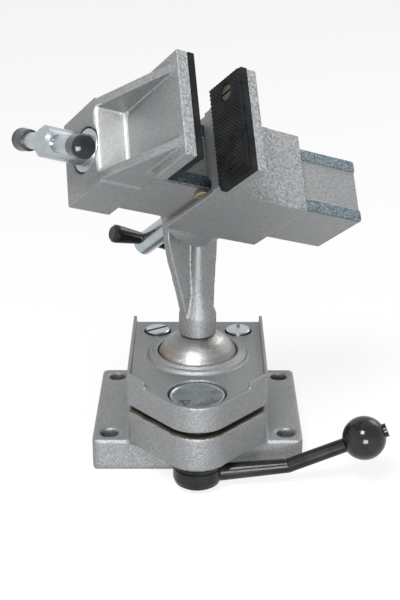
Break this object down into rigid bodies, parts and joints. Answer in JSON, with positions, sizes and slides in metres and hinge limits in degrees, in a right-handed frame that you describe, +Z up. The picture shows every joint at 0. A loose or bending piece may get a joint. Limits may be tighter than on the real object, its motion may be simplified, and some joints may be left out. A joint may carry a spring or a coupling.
{
  "type": "rotary vise",
  "caption": "Bench vise whose jaw head turns on a tilted round pad at the top of a post, held by a ball clamped in a bolted base with a swing lever.",
  "frame": {"origin": "centre of the base plate's bolt pattern, on the plate's underside", "axes": "+Z up out of the bench, +X to the right along the plate's long side, +Y to the back, away from the clamp nose and its lever"},
  "size_m": [0.1795, 0.1473, 0.2208],
  "materials": {
    "painted_casting": "silver grey metallic paint over a sand casting",
    "zinc_plate": "bright zinc plate with fine turning marks",
    "polished_steel": "ground bright steel with light rub marks",
    "black_metal": "gloss black enamel",
    "black_plastic": "moulded black plastic, half gloss",
    "black_oxide": "blackened steel, cross-hatched",
    "brass": "plain machined brass"
  },
  "bodies": {
    "base": {"base_casting": "painted_casting", "clamp_cap": "painted_casting", "cap_screws": "zinc_plate", "clamp_bolt": "zinc_plate", "thrust_washer": "zinc_plate"},
    "lever": {"clamp_lever": "black_metal", "lever_knob": "black_plastic"},
    "ball": {"joint_ball": "polished_steel"},
    "post": {"post": "painted_casting", "pivot_washer": "zinc_plate"},
    "head": {"vise_body": "painted_casting", "rear_jaw_plate": "black_oxide", "rear_plate_screws": "black_oxide", "spindle_nut": "brass", "nut_screw": "zinc_plate", "brass_gib": "brass", "pivot_stud": "zinc_plate"},
    "clamp_nut": {"pivot_nut": "zinc_plate", "pivot_bar": "zinc_plate", "pivot_grips": "black_plastic"},
    "jaw": {"moving_jaw": "painted_casting", "front_jaw_plate": "black_oxide", "front_plate_screws": "black_oxide"},
    "screw": {"spindle": "zinc_plate", "spindle_ring": "zinc_plate"},
    "cross_bar": {"spindle_bar": "zinc_plate", "spindle_grips": "black_plastic"}
  },
  "joints": [
    {"name": "lever_swing", "type": "hinge", "parent": "base", "child": "lever", "pos_m": [0, -0.056, 0], "axis": [0, 0, 1], "range_deg": [-120, 5]},
    {"name": "ball_swivel", "type": "hinge", "parent": "base", "child": "ball", "pos_m": [0, -0.011, 0.0418], "axis": [0, 0, 1], "continuous": true},
    {"name": "ball_tilt", "type": "hinge", "parent": "ball", "child": "post", "pos_m": [0, -0.011, 0.0418], "axis": [0.7193, 0.6947, 0], "range_deg": [-30, 30]},
    {"name": "head_turn", "type": "hinge", "parent": "post", "child": "head", "pos_m": [0.00388, -0.01502, 0.13571], "axis": [0.5548, -0.5745, 0.6018], "range_deg": [-160, 60]},
    {"name": "nut_turn", "type": "hinge", "parent": "head", "child": "clamp_nut", "pos_m": [0.00388, -0.01502, 0.13571], "axis": [0.5548, -0.5745, 0.6018], "range_deg": [-30, 150]},
    {"name": "jaw_slide", "type": "slide", "parent": "head", "child": "jaw", "axis": [-0.8272, -0.4585, 0.3248], "range_m": [-0.0224, 0.04]},
    {"name": "spindle_turn", "type": "hinge", "parent": "jaw", "child": "screw", "pos_m": [-0.01022, -0.04145, 0.15855], "axis": [-0.8272, -0.4585, 0.3248], "range_deg": [-2695, 4805]},
    {"name": "bar_slide", "type": "slide", "parent": "screw", "child": "cross_bar", "axis": [0.5285, -0.8312, 0.1726], "range_m": [-0.0155, 0.0155]}
  ],
  "couplings": [
    {"joint": "spindle_turn", "follows": "jaw_slide", "rad_per_m": 2094.4}
  ]
}
